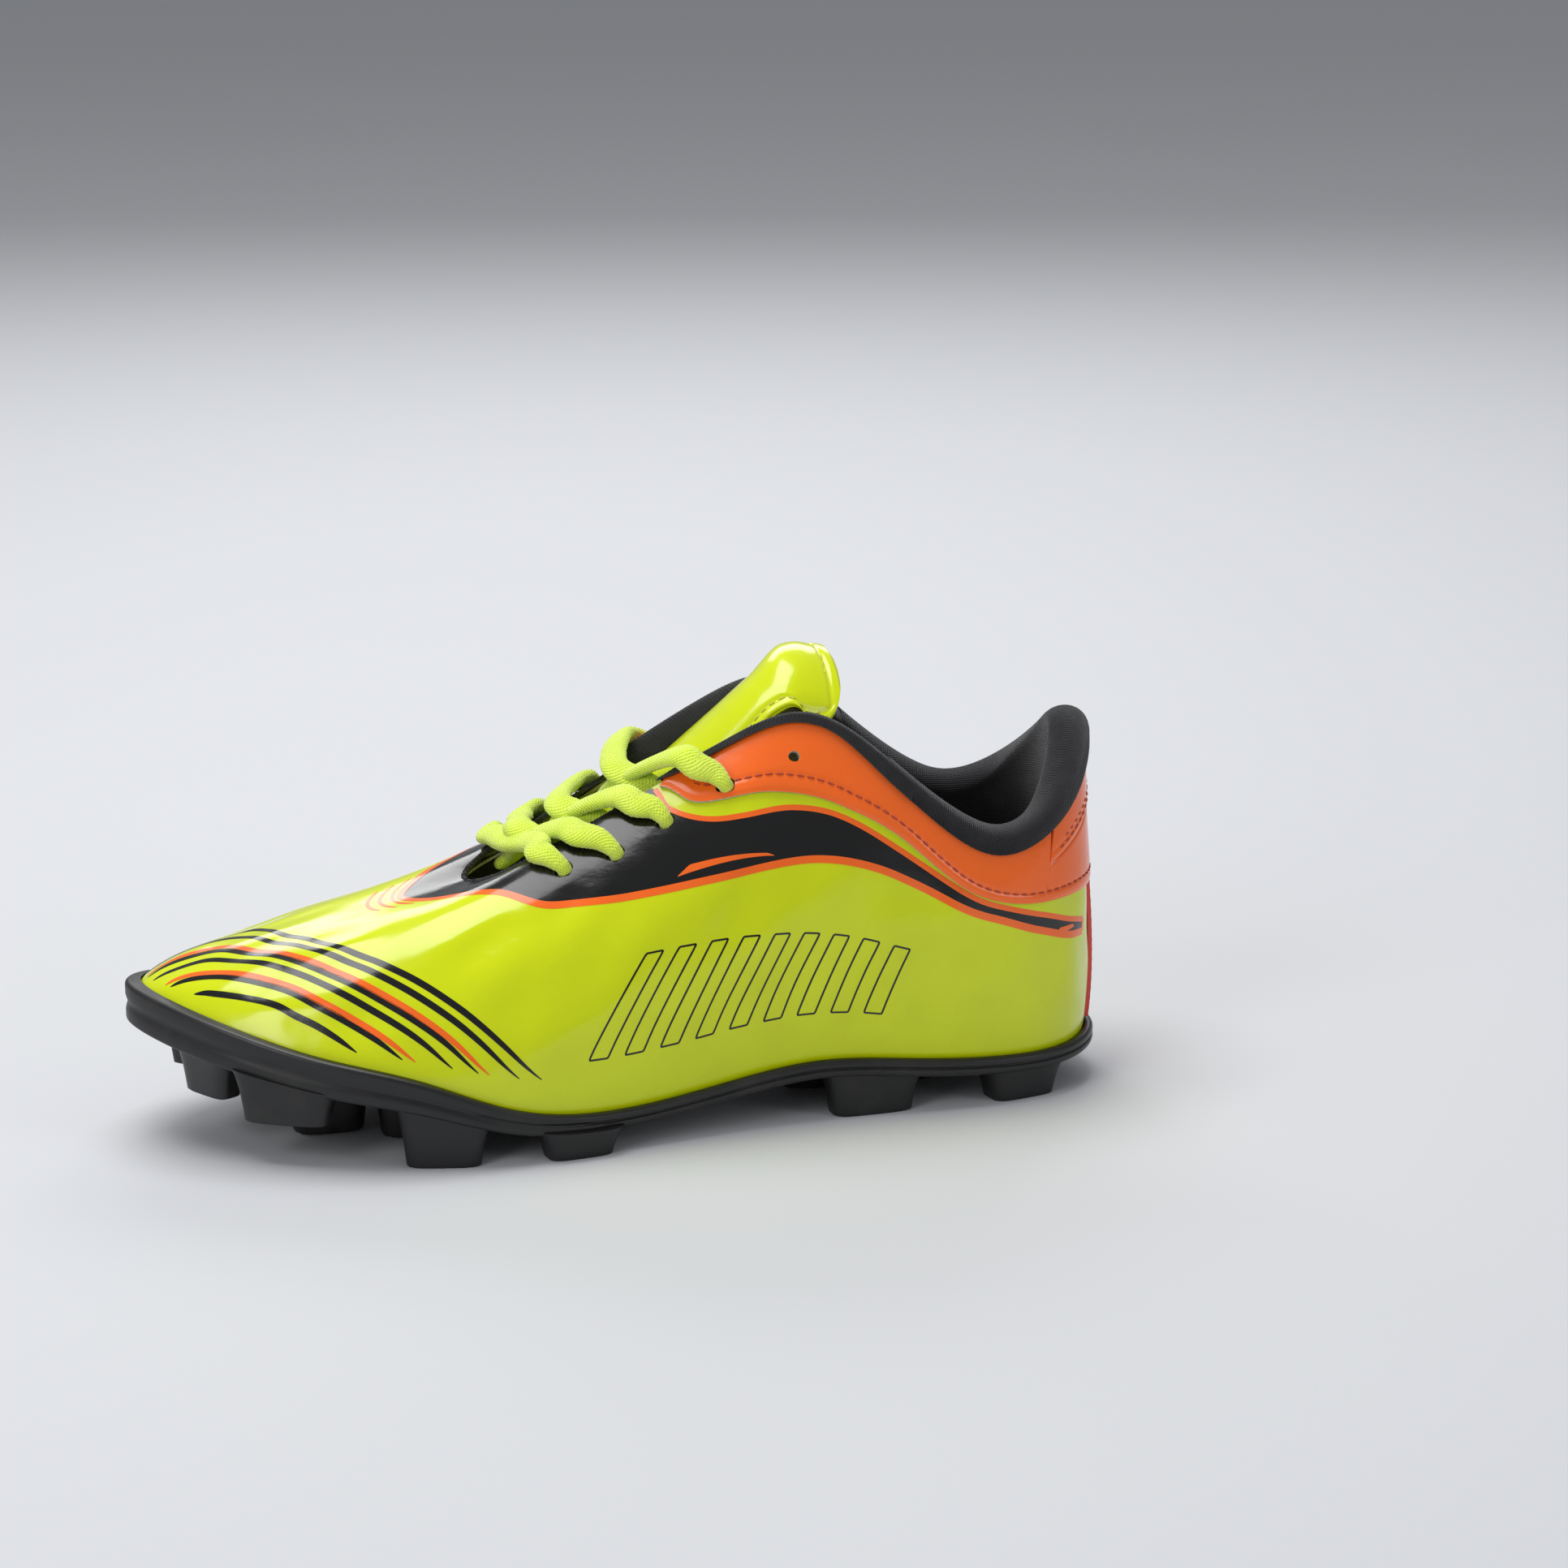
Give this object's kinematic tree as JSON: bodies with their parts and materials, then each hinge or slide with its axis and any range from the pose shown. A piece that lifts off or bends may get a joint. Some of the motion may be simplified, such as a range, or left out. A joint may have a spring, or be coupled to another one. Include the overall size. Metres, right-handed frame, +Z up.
{
  "type": "soccer cleat",
  "caption": "Left low-cut soccer cleat: moulded outsole with bladed studs, glossy upper with contrasting collar panels, padded collar, tongue and lacing.",
  "frame": {"origin": "on the ground under the middle of the shoe's box", "axes": "+Z up, toe towards -X, heel towards +X, outer side of the left foot towards -Y"},
  "size_m": [0.2852, 0.0974, 0.131],
  "materials": {
    "outsole": "moulded satin black rubber, serrated stud faces",
    "board": "stiff fibre board",
    "sock_liner": "textile-faced foam",
    "upper": "glossy coated synthetic leather with printed black and orange graphics",
    "stiffener": "thermoplastic stiffener sheet",
    "panel": "glossy orange synthetic leather",
    "back_strip": "pinkish-red strip",
    "foam": "open-cell padding",
    "knit": "black knitted textile",
    "binding": "black ribbed tape",
    "tongue_face": "glossy yellow-green synthetic leather with edge stitching",
    "lining": "woven lining",
    "lace": "neon knitted lace",
    "aglet": "shrunk plastic tip"
  },
  "bodies": {
    "shoe": {"outsole": "outsole", "lasting_board": "board", "sock_liner": "sock_liner", "upper": "upper", "toe_puff": "stiffener", "heel_counter": "stiffener", "collar_panel_lateral": "panel", "collar_panel_medial": "panel", "heel_tab": "panel", "back_strip": "back_strip", "collar_foam": "foam", "collar_lining": "knit", "topline_binding_lateral": "binding", "topline_binding_medial": "binding", "tongue_base_face": "tongue_face", "tongue_base_foam": "foam", "tongue_base_lining": "knit", "vamp_lining": "lining", "quarter_lining_lateral": "lining", "eyestay_reinforcement_lateral": "stiffener", "quarter_lining_medial": "lining", "eyestay_reinforcement_medial": "stiffener", "lace": "lace", "aglet_lateral": "aglet", "aglet_medial": "aglet"},
    "tongue_flap": {"tongue_flap_face": "tongue_face", "tongue_flap_foam": "foam", "tongue_flap_lining": "knit"}
  },
  "joints": [
    {"name": "tongue_flap_bend", "type": "hinge", "parent": "shoe", "child": "tongue_flap", "pos_m": [0.04498, 0, 0.11391], "axis": [0, -1, 0], "range_deg": [0, 45]}
  ]
}
